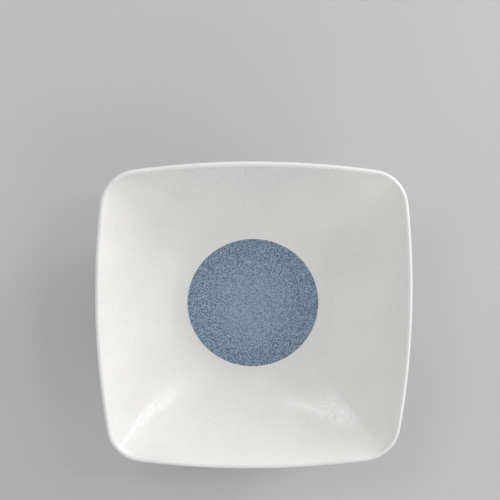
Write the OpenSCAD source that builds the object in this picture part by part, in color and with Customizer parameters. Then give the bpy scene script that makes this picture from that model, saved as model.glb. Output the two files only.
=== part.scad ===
// Soft-square serving bowl in white matt glaze, with a speckled blue disc in its round well.
// The bowl stands on its foot at z = 0, with its opening upwards and its sides square to x and y.
// Its clay body is one pressed piece, and the glazes and the disc are thin layers fired onto it.
// All lengths are in millimetres and all angles in degrees.

/* [Rim] */
// Overall width across the middles of two opposite sides
rim_width = 220; // [205:1:240]
// Overall height, from the table to the top of the lip
height = 60; // [54:1:72]
// Radius of each gently bowed side, seen from above
side_bow_r = 605; // [300:5:1200]
// Radius of each rounded corner, seen from above
corner_r = 27; // [15:1:45]
// Thickness of the wall at the rounded lip, glaze included
lip_t = 3.6; // [2.4:0.1:6]

/* [Inside] */
// Radius of the flat round floor of the well
floor_r = 51; // [40:0.5:60]
// Radius of the bend between the floor and the walls
bend_r = 25; // [12:1:32]
// Steepness of the walls at the lip, in degrees
lip_slope = 62; // [54:1:64]
// How soon the round well turns square going up: 1 is steady, less is sooner
square_rate = 0.65; // [0.5:0.05:1.4]

/* [Base and foot] */
// Thickness of the floor, glazes included
base_t = 6; // [4.5:0.5:8]
// Height of the foot ring below the base
foot_h = 5; // [3:0.5:8]
// How far the foot ring's outer side stays inside the edge of the flat base
foot_inset = 4; // [2.5:0.5:10]
// Width of the foot ring where it leaves the base
foot_root_w = 7.5; // [6:0.5:10]
// Width of the flat land that stands on the table
foot_land_w = 3.2; // [2:0.2:4]
// Rounding of the two edges of the land
foot_edge_r = 0.8; // [0.4:0.1:1.2]
// Rounding where the foot ring meets the base
foot_fillet_r = 1.2; // [0.8:0.1:1.8]

/* [Glaze and disc] */
// Thickness of the white glaze
glaze_t = 0.4; // [0.3:0.05:0.6]
// Height of the bare clay left above the land, where the glaze is wiped off
bare_h = 1.4; // [1:0.1:2]
// How far the speckled disc's edge stays inside the edge of the floor
disc_margin = 1.7; // [0.5:0.1:12]
// How far the disc stands above the white glaze around it
disc_rise = 0.1; // [0.05:0.05:0.3]

/* [Smoothness] */
// Straight steps along each bowed side
side_steps = 6; // [4:1:8]
// Straight steps round each corner
corner_steps = 10; // [6:1:12]
// Steps up the bend
bend_steps = 5; // [3:1:6]
// Steps up the wall
wall_steps = 6; // [4:1:8]
// Steps round the lip from the inside wall up to its crest
lip_in_steps = 2; // [1:1:3]
// Steps round the lip from its crest down to its widest line
lip_out_steps = 3; // [2:1:4]
// Steps round the lip from its widest line under to the outside wall
lip_under_steps = 1; // [1:1:3]

/* [Hidden] */

glaze_white = [0.93, 0.93, 0.92];
clay_buff = [0.86, 0.80, 0.71];
disc_blue = [0.47, 0.53, 0.60];

// Facets of the true circles, and steps round each small arc of the foot
round_fn = 96;
foot_arc_steps = 6;

// Tangents closer than this many degrees count as one direction
nearly_straight_angle = 0.001;

// Heights of the floor, and of the clay under each glaze
floor_z = foot_h + base_t;
clay_floor_z = floor_z - glaze_t;
clay_base_z = foot_h + glaze_t;

// The closed line that runs along the middle of the lip
lip_r = lip_t / 2;
lip_z = height - lip_r;
lip_w = rim_width / 2 - lip_r;
lip_side_r = side_bow_r - lip_r;
lip_corner_r = corner_r - lip_r;

// Direction in which side and corner arcs join: on the round floor, and at the lip
round_join_angle = 22.5;
square_join_angle = acos((lip_side_r - lip_w) / (lip_side_r - lip_corner_r) / sqrt(2)) - 45;

steps_round = 4 * (side_steps + corner_steps);

// Foot ring: its middle, the centre of its land's rounding, its lean and the centre of its fillet
foot_r = floor_r - foot_inset;
foot_mid_r = foot_r - foot_root_w / 2;
land_centre = [foot_mid_r + foot_land_w / 2, foot_edge_r];
root_reach = [foot_r, clay_base_z] - land_centre;
foot_lean = acos(foot_edge_r / norm(root_reach)) - atan2(root_reach[1], root_reach[0]);
foot_out = [cos(foot_lean), -sin(foot_lean)];
foot_down = [-sin(foot_lean), -cos(foot_lean)];
fillet_centre = [
    foot_r + foot_fillet_r * (1 - sin(foot_lean)) / cos(foot_lean),
    clay_base_z - foot_fillet_r
];

// Where the coat on the foot joins the coat on the wall, on the flat of the base
coat_join_r = (fillet_centre[0] + floor_r) / 2;

disc_r = floor_r - disc_margin;

function mix(a, b, f) = a + (b - a) * f;

// A point turned by whole quarter turns about z
function turned(p, quarter) = quarter == 0 ? p : turned([-p[1], p[0], p[2]], quarter - 1);

// A closed outline at height z, of four bowed sides and four corners that meet without a kink.
// w is its half width, corner its corner radius and join the direction where the arcs meet;
// grow moves the whole line outwards by one distance.
function outline(w, corner, join, z, grow) =
    let (
        spread = cos(join) - sin(join),
        side = (w - spread * corner) / (1 - spread),
        centre = (side - corner) * sin(join)
    )
    [
        for (quarter = [0 : 3])
            each [
                for (i = [0 : side_steps - 1])
                    let (a = mix(-join, join, i / side_steps))
                    turned([w - side + (side + grow) * cos(a), (side + grow) * sin(a), z], quarter),
                for (i = [0 : corner_steps - 1])
                    let (a = mix(join, 90 - join, i / corner_steps))
                    turned([centre + (corner + grow) * cos(a), centre + (corner + grow) * sin(a), z], quarter)
            ]
    ];

// Radius of the wall's arc, which leaves the bend without a kink and reaches end at the lip's slope
function wall_r(bend_centre, r, end) =
    let (
        d = bend_centre - end,
        reach = d[1] * cos(lip_slope) - d[0] * sin(lip_slope)
    )
    (d * d - r * r) / (2 * (reach - r));

// Steepness at which the bend hands over to the wall
function wall_start(bend_centre, r, end) =
    let (
        wall = wall_r(bend_centre, r, end),
        across = bend_centre - end - wall * [-sin(lip_slope), cos(lip_slope)]
    )
    atan2(across[0] * sign(wall), -across[1] * sign(wall));

// Stations up one face, from the edge of its flat to end, as [half width, rise, steepness].
// Rises are measured from the flat, and r is the radius of the bend.
function face_stations(r, end) =
    let (
        bend_centre = [floor_r, r],
        start = wall_start(bend_centre, r, end),
        from = bend_centre + r * [sin(start), -cos(start)],
        chord = end - from,
        turn = lip_slope - start
    )
    [
        for (i = [0 : bend_steps])
            let (a = start * i / bend_steps)
            [floor_r + r * sin(a), r * (1 - cos(a)), a],
        for (i = [1 : wall_steps])
            let (
                a = mix(start, lip_slope, i / wall_steps),
                straight = abs(turn) < nearly_straight_angle,
                share = straight ? i / wall_steps : sin((a - start) / 2) / sin(turn / 2),
                swing = (a - lip_slope) / 2
            )
            [
                from[0] + share * (chord[0] * cos(swing) - chord[1] * sin(swing)),
                from[1] + share * (chord[0] * sin(swing) + chord[1] * cos(swing)),
                a
            ]
    ];

// Outlines up one face, set back by depth under the glaze; side is 1 inside the bowl, -1 outside
function face_rings(flat_z, r, side, depth) =
    let (
        lip_shift = side * lip_r * sin(lip_slope),
        end = [lip_w - lip_shift, lip_z + side * lip_r * cos(lip_slope) - flat_z],
        corner_share = (lip_corner_r - lip_shift) / end[0]
    )
    [
        for (s = face_stations(r, end))
            let (
                square = pow(s[1] / end[1], square_rate),
                corner = s[0] * mix(1, corner_share, square),
                join = mix(round_join_angle, square_join_angle, square)
            )
            outline(
                s[0], corner, join,
                flat_z + s[1] - side * depth * cos(s[2]), side * depth * sin(s[2])
            )
    ];

// Outlines round the lip between two directions, set back by depth; 0 looks outwards and 90 up
function lip_rings(from, to, steps, depth) =
    [
        for (i = [1 : steps])
            let (a = mix(from, to, i / steps), r = lip_r - depth)
            outline(lip_w, lip_corner_r, square_join_angle, lip_z + r * sin(a), r * cos(a))
    ];

// Outlines of the whole inside, from the edge of the floor to the crest of the lip
function inside_rings(depth) = concat(
    face_rings(floor_z, bend_r, 1, depth),
    lip_rings(90 + lip_slope, 90, lip_in_steps, depth)
);

// Outlines of the whole outside, from the edge of the base to the crest of the lip
function outside_rings(depth) = concat(
    face_rings(foot_h, bend_r + base_t, -1, depth),
    lip_rings(lip_slope - 90, 0, lip_under_steps, depth),
    lip_rings(0, 90, lip_out_steps, depth)
);

function backwards(list) = [for (i = [len(list) - 1 : -1 : 0]) list[i]];

function all_but_last(list) = [for (i = [0 : len(list) - 2]) list[i]];

// A solid between an upper and an under surface, each given as rings from its flat to the lip.
// The last rings are joined, and a flat closes each surface at its first ring. Every surface is
// cut into the same triangles whichever solid it bounds, so coats lie face to face on the clay.
module loft(upper, under) {
    n = steps_round;
    first_under = n * len(upper);
    crest = first_under - n;
    under_crest = first_under + n * (len(under) - 1);
    upper_hub = under_crest + n;
    under_hub = upper_hub + 1;
    polyhedron(
        points = concat(
            [for (ring = upper) each ring],
            [for (ring = under) each ring],
            [[0, 0, upper[0][0][2]], [0, 0, under[0][0][2]]]
        ),
        faces = [
            for (i = [0 : n - 1])
                let (next = (i + 1) % n)
                each [
                    [upper_hub, next, i],
                    for (row = [0 : n : crest - n])
                        each [
                            [row + i, row + next, row + n + i],
                            [row + next, row + n + next, row + n + i]
                        ],
                    [crest + i, crest + next, under_crest + next],
                    [crest + i, under_crest + next, under_crest + i],
                    for (row = [first_under : n : under_crest - n])
                        each [
                            [row + next, row + i, row + n + i],
                            [row + n + next, row + next, row + n + i]
                        ],
                    [under_hub, first_under + i, first_under + next]
                ]
        ]
    );
}

function arc(centre, r, from, to) =
    [
        for (i = [0 : foot_arc_steps])
            let (a = mix(from, to, i / foot_arc_steps))
            centre + r * [cos(a), sin(a)]
    ];

// The fillet on the foot's outer side, from the base to the side, set out by depth over the clay
function foot_fillet(depth) = arc(fillet_centre, foot_fillet_r - depth, 90, 180 - foot_lean);

// The glaze's rounded lower edge on the foot's outer side, from its surface down to the clay
function glaze_edge() =
    let (
        side = land_centre + foot_edge_r * foot_out,
        end = side + (side[1] - bare_h - glaze_t) / cos(foot_lean) * foot_down
    )
    [
        for (i = [0 : foot_arc_steps])
            let (a = 90 * i / foot_arc_steps)
            end + glaze_t * (cos(a) * foot_out + sin(a) * foot_down)
    ];

// Points of the foot's outer side, mirrored to its inner side
function inner_side(points) = [for (p = backwards(points)) [2 * foot_mid_r - p[0], p[1]]];

// Section through the clay foot ring, carried up into the base so that the two are one piece
module foot_section() {
    outer = concat(
        [[fillet_centre[0], clay_base_z + base_t / 2]],
        foot_fillet(0),
        backwards(arc(land_centre, foot_edge_r, -90, -foot_lean))
    );
    polygon(concat(outer, inner_side(outer)));
}

// Section through the glaze that runs along the base from radius start, and down the foot's
// outer side to its wiped edge
function foot_coat(start) = concat(
    backwards(foot_fillet(0)),
    [[start, clay_base_z], [start, foot_h]],
    foot_fillet(glaze_t),
    glaze_edge()
);

module clay_body() {
    color(clay_buff) union() {
        loft(inside_rings(glaze_t), all_but_last(outside_rings(glaze_t)));
        rotate_extrude($fn = round_fn) foot_section();
    }
}

module inner_glaze() {
    color(glaze_white) difference() {
        loft(inside_rings(0), inside_rings(glaze_t));
        translate([0, 0, clay_floor_z - glaze_t])
            cylinder(r = disc_r, h = 3 * glaze_t, $fn = round_fn);
    }
}

module outer_glaze() {
    color(glaze_white) union() {
        difference() {
            loft(outside_rings(glaze_t), outside_rings(0));
            translate([0, 0, foot_h - glaze_t])
                cylinder(r = coat_join_r, h = 3 * glaze_t, $fn = round_fn);
        }
        rotate_extrude($fn = round_fn) polygon(foot_coat(coat_join_r));
    }
}

// The glaze inside the foot ring, from the middle of the base to its wiped edge
module foot_glaze() {
    color(glaze_white) rotate_extrude($fn = round_fn) polygon(inner_side(foot_coat(2 * foot_mid_r)));
}

// The disc fills its round hole in the white glaze and ends in a softened edge
module centre_disc() {
    edge = disc_r - disc_rise;
    color(disc_blue) rotate_extrude($fn = round_fn) polygon(concat(
        [[0, clay_floor_z], [disc_r, clay_floor_z]],
        [
            for (i = [0 : foot_arc_steps])
                let (a = 90 * i / foot_arc_steps)
                [edge + disc_rise * cos(a), floor_z + disc_rise * sin(a)]
        ],
        [[0, floor_z + disc_rise]]
    ));
}

clay_body();
inner_glaze();
outer_glaze();
foot_glaze();
centre_disc();
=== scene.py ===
"""The square bowl dressed for rendering: smooth coats of glaze, a bare clay foot and a speckled disc.

Lengths are in metres and angles in radians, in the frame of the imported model: the bowl stands on
its foot at z = 0, opens upwards, and has its sides square to x and y.
"""

import math

import bmesh
import bpy
from mathutils import Matrix, Vector


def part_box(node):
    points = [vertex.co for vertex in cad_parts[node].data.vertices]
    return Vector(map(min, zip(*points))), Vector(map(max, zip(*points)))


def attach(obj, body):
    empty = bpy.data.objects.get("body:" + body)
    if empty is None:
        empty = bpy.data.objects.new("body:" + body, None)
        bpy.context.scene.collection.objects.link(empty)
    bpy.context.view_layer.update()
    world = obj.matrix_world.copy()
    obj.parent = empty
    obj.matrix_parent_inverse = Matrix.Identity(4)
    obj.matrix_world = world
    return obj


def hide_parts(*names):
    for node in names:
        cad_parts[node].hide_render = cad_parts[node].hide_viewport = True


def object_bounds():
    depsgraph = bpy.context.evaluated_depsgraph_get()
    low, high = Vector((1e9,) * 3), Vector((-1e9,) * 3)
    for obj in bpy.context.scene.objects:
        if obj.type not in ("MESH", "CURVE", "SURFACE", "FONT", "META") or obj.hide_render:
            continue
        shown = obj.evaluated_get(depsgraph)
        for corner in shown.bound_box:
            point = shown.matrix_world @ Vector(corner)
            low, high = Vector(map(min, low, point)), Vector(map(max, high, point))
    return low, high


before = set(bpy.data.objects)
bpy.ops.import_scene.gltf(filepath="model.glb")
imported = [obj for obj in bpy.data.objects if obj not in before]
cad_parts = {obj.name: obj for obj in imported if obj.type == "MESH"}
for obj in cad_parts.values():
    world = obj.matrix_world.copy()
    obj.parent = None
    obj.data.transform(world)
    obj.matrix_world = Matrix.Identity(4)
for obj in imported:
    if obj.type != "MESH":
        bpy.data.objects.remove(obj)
cad_low, cad_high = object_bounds()

MM = 0.001

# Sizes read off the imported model
HALF_WIDTH = cad_high.x
HEIGHT = cad_high.z
DISC_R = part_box("centre_disc")[1].x
CLAY_FLOOR_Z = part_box("centre_disc")[0].z
CLAY_BASE_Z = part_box("foot_glaze")[1].z

# Sizes of the bowl that the model's boxes don't give
GLAZE_T = 0.4 * MM
LIP_R = 1.8 * MM
SIDE_BOW_R = 605 * MM
CORNER_R = 27 * MM
FLOOR_R = 51 * MM
BEND_R = 25 * MM
LIP_SLOPE = math.radians(62)
SQUARE_RATE = 0.65
FOOT_INSET = 4 * MM
FOOT_ROOT_W = 7.5 * MM
FOOT_LAND_W = 3.2 * MM
FOOT_EDGE_R = 0.8 * MM
FOOT_FILLET_R = 1.2 * MM
BARE_H = 1.4 * MM
DISC_RISE = 0.1 * MM

FLOOR_Z = CLAY_FLOOR_Z + GLAZE_T
BASE_Z = CLAY_BASE_Z - GLAZE_T
BASE_T = FLOOR_Z - BASE_Z

# The closed line that runs along the middle of the lip
LIP_Z = HEIGHT - LIP_R
LIP_W = HALF_WIDTH - LIP_R
LIP_SIDE_R = SIDE_BOW_R - LIP_R
LIP_CORNER_R = CORNER_R - LIP_R

QUARTER = math.pi / 2

# Direction in which side and corner arcs join: on the round floor, and at the lip
ROUND_JOIN = QUARTER / 4
SQUARE_JOIN = math.acos(
    (LIP_SIDE_R - LIP_W) / (LIP_SIDE_R - LIP_CORNER_R) / math.sqrt(2)
) - QUARTER / 2

# Fineness of the meshes
QUARTER_STEPS = 64
HALF_SIDE_SHARE = 0.2
BEND_STEPS = 16
WALL_STEPS = 28
LIP_STEPS = 14
ARC_STEPS = 6
CREST_GAP = math.radians(0.6)
MERGE_DISTANCE = 0.001 * MM
SHARP_ANGLE = math.radians(40)

# The finishes: radius of the specks and grits, how far in they are solid, and the reliefs' heights
SPECK_R = 0.35 * MM
SPECK_CORE_SHARE = 0.4
STIPPLE_H = 0.015 * MM
SPECKLE_H = 0.02 * MM
SAND_H = 0.05 * MM


def mix(a, b, share):
    return a + (b - a) * share


def add_object(name, data):
    """Puts a mesh, a lamp or a camera into the scene."""
    made = bpy.data.objects.new(name, data)
    bpy.context.scene.collection.objects.link(made)
    return made


def add_mesh(name, bm):
    """Puts a finished bmesh into the scene and frees it."""
    mesh = bpy.data.meshes.new(name)
    bm.to_mesh(mesh)
    bm.free()
    return add_object(name, mesh)


class Ring:
    """One level of the bowl: an outline of bowed sides and corner arcs, grown by one distance."""

    def __init__(self, half_width, corner_r, join, z, grow=0.0):
        spread = math.cos(join) - math.sin(join)
        self.half_width = half_width
        self.corner_r = corner_r
        self.join = join
        self.z = z
        self.grow = grow
        self.side_r = (half_width - spread * corner_r) / (1 - spread)
        self.corner_centre = (self.side_r - corner_r) * math.sin(join)

    def direction(self, share):
        """Direction that the outline faces at a share of the first quarter turn."""
        end = HALF_SIDE_SHARE
        if share < end:
            return self.join * share / end
        if share > 1 - end:
            return QUARTER - self.join * (1 - share) / end
        return mix(self.join, QUARTER - self.join, (share - end) / (1 - 2 * end))

    def point(self, share):
        """Point of the outline at a share of the first quarter turn."""
        a = self.direction(share)
        if a < self.join:
            x, y, r = self.half_width - self.side_r, 0, self.side_r
        elif a > QUARTER - self.join:
            x, y, r = 0, self.half_width - self.side_r, self.side_r
        else:
            x, y, r = self.corner_centre, self.corner_centre, self.corner_r
        r += self.grow
        return Vector((x + r * math.cos(a), y + r * math.sin(a), self.z))


def round_ring(radius, z):
    return Ring(radius, radius, ROUND_JOIN, z)


def face_stations(bend_r, end_w, end_rise):
    """Half width, rise and steepness up one face: its bend, then the wall's arc to the lip.

    The wall's radius is the one with which it touches the bend's arc and meets the lip's slope.
    to_bend runs from the wall's upper end to the centre of the bend's arc, and across from the
    wall's own centre to that one.
    """
    to_bend = Vector((FLOOR_R - end_w, bend_r - end_rise))
    normal = Vector((-math.sin(LIP_SLOPE), math.cos(LIP_SLOPE)))
    wall_r = (to_bend.length_squared - bend_r**2) / (2 * (to_bend.dot(normal) - bend_r))
    across = (to_bend - wall_r * normal) * math.copysign(1, wall_r)
    start = math.atan2(across.x, -across.y)
    bend_end = Vector((FLOOR_R + bend_r * math.sin(start), bend_r * (1 - math.cos(start))))
    stations = []
    for i in range(BEND_STEPS + 1):
        a = start * i / BEND_STEPS
        stations.append((FLOOR_R + bend_r * math.sin(a), bend_r * (1 - math.cos(a)), a))
    for i in range(1, WALL_STEPS + 1):
        a = mix(start, LIP_SLOPE, i / WALL_STEPS)
        x = bend_end.x + wall_r * (math.sin(a) - math.sin(start))
        z = bend_end.y + wall_r * (math.cos(start) - math.cos(a))
        stations.append((x, z, a))
    return stations


def face_rings(flat_z, bend_r, side, depth):
    """Rings up one face, set back by depth. side is 1 inside the bowl and -1 outside."""
    shift = side * LIP_R * math.sin(LIP_SLOPE)
    end_w = LIP_W - shift
    end_rise = LIP_Z + side * LIP_R * math.cos(LIP_SLOPE) - flat_z
    corner_share = (LIP_CORNER_R - shift) / end_w
    rings = []
    for w, rise, slope in face_stations(bend_r, end_w, end_rise):
        square = max(rise / end_rise, 0) ** SQUARE_RATE
        corner_r = w * mix(1, corner_share, square)
        join = mix(ROUND_JOIN, SQUARE_JOIN, square)
        z = flat_z + rise - side * depth * math.cos(slope)
        rings.append(Ring(w, corner_r, join, z, side * depth * math.sin(slope)))
    return rings


def lip_rings(start, depth):
    """Rings round the lip from one direction up to the crest, the last two close together."""
    near_crest = QUARTER + math.copysign(CREST_GAP, start - QUARTER)
    r = LIP_R - depth
    angles = [mix(start, near_crest, i / LIP_STEPS) for i in range(1, LIP_STEPS + 1)] + [QUARTER]
    return [
        Ring(LIP_W, LIP_CORNER_R, SQUARE_JOIN, LIP_Z + r * math.sin(a), r * math.cos(a))
        for a in angles
    ]


def inside_rings(depth):
    return face_rings(FLOOR_Z, BEND_R, 1, depth) + lip_rings(QUARTER + LIP_SLOPE, depth)


def outside_rings(depth):
    return face_rings(BASE_Z, BEND_R + BASE_T, -1, depth) + lip_rings(LIP_SLOPE - QUARTER, depth)


def turned_piece(name, rings, closed):
    """Spins the section a quarter turn, moves each vertex to its own ring and copies the quarter.

    closed joins the section's last ring to its first, where neither lies on the middle line.
    """
    bm = bmesh.new()
    ring_of = bm.verts.layers.int.new("ring")
    section = []
    for i, ring in enumerate(rings):
        v = bm.verts.new((ring.half_width + ring.grow, 0, ring.z))
        v[ring_of] = i
        section.append(v)
    ends = section[1:] + section[:1] if closed else section[1:]
    edges = [bm.edges.new(pair) for pair in zip(section, ends)]
    bmesh.ops.spin(
        bm, geom=section + edges, axis=(0, 0, 1), cent=(0, 0, 0), dvec=(0, 0, 0),
        angle=QUARTER, steps=QUARTER_STEPS, use_merge=False, use_duplicate=False,
    )
    for v in bm.verts:
        v.co = rings[v[ring_of]].point(math.atan2(v.co.y, v.co.x) / QUARTER)
    quarter = bm.verts[:] + bm.edges[:] + bm.faces[:]
    for i in range(1, 4):
        copied = bmesh.ops.duplicate(bm, geom=quarter)["geom"]
        verts = [part for part in copied if isinstance(part, bmesh.types.BMVert)]
        turn = Matrix.Rotation(i * QUARTER, 3, "Z")
        bmesh.ops.rotate(bm, verts=verts, cent=(0, 0, 0), matrix=turn)
    bmesh.ops.remove_doubles(bm, verts=bm.verts, dist=MERGE_DISTANCE)
    bmesh.ops.recalc_face_normals(bm, faces=bm.faces)
    piece = add_mesh(name, bm)
    piece.data.shade_smooth()
    piece.data.set_sharp_from_angle(angle=SHARP_ANGLE)
    return piece


# The foot ring: its middle, the centre of its land's rounding, its lean and its fillet's centre
FOOT_R = FLOOR_R - FOOT_INSET
FOOT_MID_R = FOOT_R - FOOT_ROOT_W / 2
LAND_CENTRE = Vector((FOOT_MID_R + FOOT_LAND_W / 2, FOOT_EDGE_R))
ROOT_REACH = Vector((FOOT_R, CLAY_BASE_Z)) - LAND_CENTRE
FOOT_LEAN = math.acos(FOOT_EDGE_R / ROOT_REACH.length) - math.atan2(ROOT_REACH.y, ROOT_REACH.x)
FOOT_OUT = Vector((math.cos(FOOT_LEAN), -math.sin(FOOT_LEAN)))
FOOT_DOWN = Vector((-math.sin(FOOT_LEAN), -math.cos(FOOT_LEAN)))
FILLET_CENTRE = Vector((
    FOOT_R + FOOT_FILLET_R * (1 - math.sin(FOOT_LEAN)) / math.cos(FOOT_LEAN),
    CLAY_BASE_Z - FOOT_FILLET_R,
))


def arc(centre, radius, start, end):
    angles = [mix(start, end, i / ARC_STEPS) for i in range(ARC_STEPS + 1)]
    return [centre + radius * Vector((math.cos(a), math.sin(a))) for a in angles]


def foot_fillet(depth):
    return arc(FILLET_CENTRE, FOOT_FILLET_R - depth, QUARTER, 2 * QUARTER - FOOT_LEAN)


def foot_land():
    return arc(LAND_CENTRE, FOOT_EDGE_R, -FOOT_LEAN, -QUARTER)


def glaze_edge():
    """The glaze's rounded lower edge on the foot's outer side, from its surface to the clay."""
    side = LAND_CENTRE + FOOT_EDGE_R * FOOT_OUT
    end = side + (side.y - BARE_H - GLAZE_T) / math.cos(FOOT_LEAN) * FOOT_DOWN
    angles = [QUARTER * i / ARC_STEPS for i in range(ARC_STEPS + 1)]
    return [end + GLAZE_T * (math.cos(a) * FOOT_OUT + math.sin(a) * FOOT_DOWN) for a in angles]


def inner_side(points):
    """The foot's outer side mirrored to its inner side, in the opposite order."""
    return [Vector((2 * FOOT_MID_R - p.x, p.y)) for p in reversed(points)]


def as_rings(points):
    return [round_ring(max(p.x, 0), p.y) for p in points]


def make_clay_body():
    outer = foot_fillet(0) + foot_land()
    foot = outer + inner_side(outer)
    middle = [Vector((0, CLAY_BASE_Z))]
    rings = (
        as_rings([Vector((0, CLAY_FLOOR_Z))])
        + inside_rings(GLAZE_T)
        + outside_rings(GLAZE_T)[-2::-1]
        + as_rings(foot + middle)
    )
    return turned_piece("clay_bowl", rings, closed=False)


def make_inner_glaze():
    surface = as_rings([Vector((DISC_R, FLOOR_Z))]) + inside_rings(0)
    back = as_rings([Vector((DISC_R, CLAY_FLOOR_Z))]) + inside_rings(GLAZE_T)
    return turned_piece("glaze_inside", surface + back[::-1], closed=True)


def make_outer_glaze():
    end = glaze_edge()
    surface = as_rings(end[::-1] + foot_fillet(GLAZE_T)[::-1]) + outside_rings(0)
    back = as_rings(foot_fillet(0)[::-1]) + outside_rings(GLAZE_T)
    return turned_piece("glaze_outside", surface + back[::-1], closed=True)


def make_foot_glaze():
    end = glaze_edge()
    surface = [Vector((0, BASE_Z))] + inner_side(end[::-1] + foot_fillet(GLAZE_T)[::-1])
    back = [Vector((0, CLAY_BASE_Z))] + inner_side(foot_fillet(0)[::-1])
    return turned_piece("glaze_in_foot", as_rings(surface + back[::-1]), closed=False)


def make_disc():
    edge = DISC_R - DISC_RISE
    top = arc(Vector((edge, FLOOR_Z)), DISC_RISE, 0, QUARTER)
    levels = [Vector((edge * i / BEND_STEPS, FLOOR_Z + DISC_RISE)) for i in range(BEND_STEPS)]
    bottom = [Vector((0, CLAY_FLOOR_Z)), Vector((DISC_R, CLAY_FLOOR_Z))]
    return turned_piece("speckled_disc", as_rings(bottom + top + levels[::-1]), closed=False)


class Value:
    """A shader socket that Python's own operators can be used on."""

    def __init__(self, tree, socket):
        self.tree = tree
        self.socket = socket

    def other(self, name):
        """Another output of the same node."""
        return Value(self.tree, self.socket.node.outputs[name])

    def math(self, operation, *others, clamp=False):
        return self.tree.node("ShaderNodeMath", [self, *others], operation=operation, use_clamp=clamp)

    def clamped(self):
        """The value held between nought and one."""
        return self.math("ADD", 0, clamp=True)

    def __add__(self, other):
        return self.math("ADD", other)

    def __sub__(self, other):
        return self.math("SUBTRACT", other)

    def __mul__(self, other):
        return self.math("MULTIPLY", other)

    def __rsub__(self, other):
        return self.tree.node("ShaderNodeMath", [other, self], operation="SUBTRACT")

    __radd__ = __add__
    __rmul__ = __mul__

    def map_range(self, from_low, from_high, to_low=0.0, to_high=1.0):
        """A smooth step between two values, flat outside them."""
        inputs = [self, from_low, from_high, to_low, to_high]
        return self.tree.node("ShaderNodeMapRange", inputs, interpolation_type="SMOOTHSTEP")


class Material:
    """A node material with one Principled shader."""

    def __init__(self, name):
        self.material = bpy.data.materials.new(name)
        self.material.use_nodes = True
        self.nodes = self.material.node_tree.nodes
        self.links = self.material.node_tree.links
        self.shader = self.nodes["Principled BSDF"]

    def node(self, kind, inputs, output=0, **settings):
        """Adds one node: its settings first, then the values or links of its sockets."""
        made = self.nodes.new(kind)
        for key, value in settings.items():
            setattr(made, key, value)
        pairs = inputs.items() if isinstance(inputs, dict) else enumerate(inputs)
        for key, value in pairs:
            if isinstance(value, Value):
                self.links.new(value.socket, made.inputs[key])
            else:
                made.inputs[key].default_value = value
        return Value(self, made.outputs[output])

    def position(self):
        return self.node("ShaderNodeTexCoord", {}, output="Object")

    def from_axis(self):
        """Distance from the bowl's upright middle line."""
        place = self.node("ShaderNodeSeparateXYZ", [self.position()])
        x, y = place, place.other("Y")
        return (x * x + y * y).math("SQRT")

    def noise(self, scale, detail):
        """Noise around a half, with about so many lumps to the metre."""
        inputs = {"Vector": self.position(), "Scale": scale, "Detail": detail}
        return self.node("ShaderNodeTexNoise", inputs)

    def specks(self, per_metre, radius):
        """One in pin-sized round specks and nought elsewhere."""
        inputs = {"Vector": self.position(), "Scale": per_metre}
        distance = self.node("ShaderNodeTexVoronoi", inputs, output="Distance")
        edge = radius * per_metre
        return distance.map_range(edge, SPECK_CORE_SHARE * edge)

    def mix(self, share, first, second):
        """Mixes two colours; the node's sockets share their names, so they go by number."""
        return self.node("ShaderNodeMix", {0: share, 6: first, 7: second}, 2, data_type="RGBA")

    def bump(self, height, distance):
        """A normal that follows a height from nought to one, worth so many metres."""
        return self.node("ShaderNodeBump", {"Strength": 1, "Distance": distance, "Height": height})

    def set(self, **values):
        """Fixed values and links of the shader's sockets, spaces in their names as underscores."""
        for key, value in values.items():
            socket = self.shader.inputs[key.replace("_", " ")]
            if isinstance(value, Value):
                self.links.new(value.socket, socket)
            else:
                socket.default_value = value


def from_screen(red, green, blue):
    """A colour given as on a screen, 0 to 255, as the linear colour that shaders take."""
    def linear(value):
        share = value / 255
        return share / 12.92 if share <= 0.04045 else ((share + 0.055) / 1.055) ** 2.4
    return (linear(red), linear(green), linear(blue), 1)


def white_glaze():
    """Matt white, faintly clouded, with a fine stipple of glossier spots and a few tiny specks."""
    m = Material("matt_white_glaze")
    cloud = m.noise(26, detail=3).map_range(0.35, 0.65)
    white = m.mix(cloud, from_screen(228, 227, 225), from_screen(232, 231, 229))
    specks = m.specks(52, SPECK_R)
    stipple = m.noise(1000, detail=0)
    m.set(Base_Color=m.mix(specks * 0.5, white, from_screen(120, 112, 100)))
    m.set(Roughness=stipple.map_range(0.42, 0.58, 0.14, 0.5))
    m.set(Normal=m.bump(stipple, STIPPLE_H))
    return m.material


def blue_glaze():
    """Grey-blue with a speckle finer than a millimetre, darker and stronger towards the edge."""
    m = Material("speckled_blue_glaze")
    towards_edge = m.from_axis().map_range(0.25 * DISC_R, DISC_R)
    speckle = m.noise(1150, detail=1.5)
    contrast = 2.5 + 1.5 * towards_edge
    pale = ((speckle - 0.5) * contrast + 0.57 - 0.15 * towards_edge).clamped()
    m.set(Base_Color=m.mix(pale, from_screen(78, 95, 115), from_screen(160, 182, 202)))
    m.set(Roughness=0.42)
    m.set(Normal=m.bump(speckle, SPECKLE_H))
    return m.material


def bare_clay():
    """Dry buff clay with a sandy grain and small darker grits."""
    m = Material("bare_clay")
    sand = m.noise(1500, detail=3).map_range(0.3, 0.7)
    clay = m.mix(sand, from_screen(196, 178, 152), from_screen(218, 203, 180))
    grits = m.specks(420, SPECK_R)
    m.set(Base_Color=m.mix(grits * 0.6, clay, from_screen(120, 96, 72)), Roughness=0.92)
    m.set(Normal=m.bump(sand, SAND_H))
    return m.material


def dress(piece, node, material):
    """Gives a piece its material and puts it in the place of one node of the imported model."""
    piece.data.materials.append(material)
    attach(piece, "root")
    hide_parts(node)


white = white_glaze()
dress(make_clay_body(), "clay_body", bare_clay())
dress(make_inner_glaze(), "inner_glaze", white)
dress(make_outer_glaze(), "outer_glaze", white)
dress(make_foot_glaze(), "foot_glaze", white)
dress(make_disc(), "centre_disc", blue_glaze())


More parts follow.
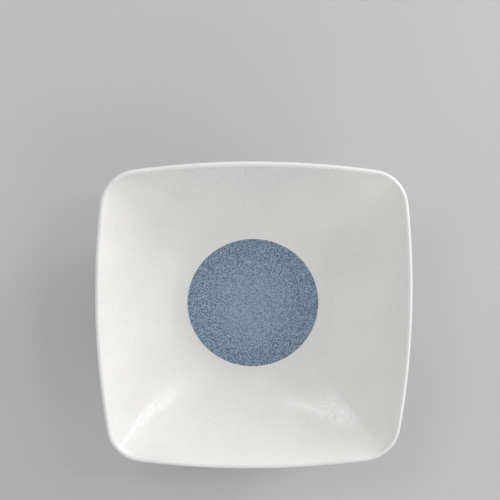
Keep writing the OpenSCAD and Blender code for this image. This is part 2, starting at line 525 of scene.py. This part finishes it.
# The camera, as measured from the photograph of 500 by 500 pixels: its focal length in pixels,
# its turn about the bowl's axes, its distance in half widths and the pixel of the rim's middle
PHOTO_PIXELS = 500
FOCAL_PIXELS = 800
CAMERA_TILT = math.radians(10.34)
CAMERA_YAW = math.radians(0.79)
CAMERA_ROLL = math.radians(-0.12)
CAMERA_DISTANCE = 5.058 * HALF_WIDTH
RIM_MIDDLE_PIXEL = (253.6, 319.7)
IMAGE_MIDDLE = (PHOTO_PIXELS - 1) / 2
CAMERA_CLIP_START = 0.01

# The studio: how far off the lamps hang, where the floor's grey turns white as painted light beyond
# the lamps' reach, its edge and its sides
LAMP_DISTANCE = 1.6
FLOOR_PAINTED_LIGHT_START = 1.5
FLOOR_PAINTED_LIGHT_END = 2.0
FLOOR_END = 4.0
FLOOR_SIDES = 64


def add_camera():
    data = bpy.data.cameras.new("camera")
    data.lens = data.sensor_width * FOCAL_PIXELS / PHOTO_PIXELS
    data.clip_start = CAMERA_CLIP_START
    turn = (
        Matrix.Rotation(CAMERA_ROLL, 3, "Z")
        @ Matrix.Rotation(CAMERA_TILT, 3, "X")
        @ Matrix.Rotation(CAMERA_YAW, 3, "Y")
    )
    right = (RIM_MIDDLE_PIXEL[0] - IMAGE_MIDDLE) / FOCAL_PIXELS
    down = (RIM_MIDDLE_PIXEL[1] - IMAGE_MIDDLE) / FOCAL_PIXELS
    to_rim = CAMERA_DISTANCE * Vector((right, -down, -1))
    back = turn.transposed()
    place = Vector((0, 0, LIP_Z)) - back @ to_rim
    camera = add_object("camera", data)
    camera.matrix_world = Matrix.Translation(place) @ back.to_4x4()
    bpy.context.scene.camera = camera


def floor_paint():
    """Matt pale grey that turns white behind the lamps, where the floor meets the background: painted
    light in place of the lamps' light, which falls off there.
    """
    m = Material("floor_paint")
    # Painted light: the floor's grey turns white where the lamps' light falls off, instead of the
    # shade that falls there
    painted_light_beyond_lamps = m.from_axis().map_range(FLOOR_PAINTED_LIGHT_START, FLOOR_PAINTED_LIGHT_END)
    m.set(Base_Color=m.mix(painted_light_beyond_lamps, from_screen(196, 196, 197), from_screen(250, 250, 251)))
    m.set(Roughness=0.9)
    return m.material


def add_floor():
    bm = bmesh.new()
    bmesh.ops.create_circle(bm, cap_ends=True, segments=FLOOR_SIDES, radius=FLOOR_END)
    floor = add_mesh("floor", bm)
    floor.data.materials.append(floor_paint())


def add_lamp(name, azimuth, elevation, width, height, power, tilt=0):
    """A soft lamp that looks at the bowl; azimuth 0 is on the +x side and 90 on the +y side.

    Angles are in degrees, sizes in metres and power in watts. A tilt lifts the lamp's end on the
    side of growing azimuth.
    """
    data = bpy.data.lights.new(name, "AREA")
    data.shape = "RECTANGLE"
    data.size = width
    data.size_y = height
    data.energy = power
    a, e = math.radians(azimuth), math.radians(elevation)
    away = Vector((math.cos(a) * math.cos(e), math.sin(a) * math.cos(e), math.sin(e)))
    middle = Vector((0, 0, HEIGHT / 2))
    facing = away.to_track_quat("Z", "Y").to_matrix() @ Matrix.Rotation(math.radians(tilt), 3, "Z")
    lamp = add_object(name, data)
    lamp.matrix_world = Matrix.Translation(middle + LAMP_DISTANCE * away) @ facing.to_4x4()


def add_lights():
    """A low key on the right, soft lamps all round, and two that draw the glaze's highlights."""
    add_lamp("key", 38, 14, 0.75, 0.75, 16)
    add_lamp("soft_far", 60, 28, 1.2, 1.2, 1.5)
    add_lamp("soft_left", 180, 28, 1.2, 1.2, 4)
    add_lamp("soft_near", 270, 20, 1.8, 0.9, 5.3)
    add_lamp("soft_right", 330, 28, 1.2, 1.2, 5)
    add_lamp("strip", 123, 44.5, 0.95, 0.15, 3.7, tilt=12)
    add_lamp("spot", 29, 42.5, 0.5, 0.16, 2.4, tilt=40)
    world = bpy.data.worlds.new("studio")
    world.use_nodes = True
    world.node_tree.nodes["Background"].inputs["Color"].default_value = from_screen(168, 168, 169)
    bpy.context.scene.world = world


add_camera()
add_floor()
add_lights()
bpy.context.scene.view_settings.view_transform = "Standard"
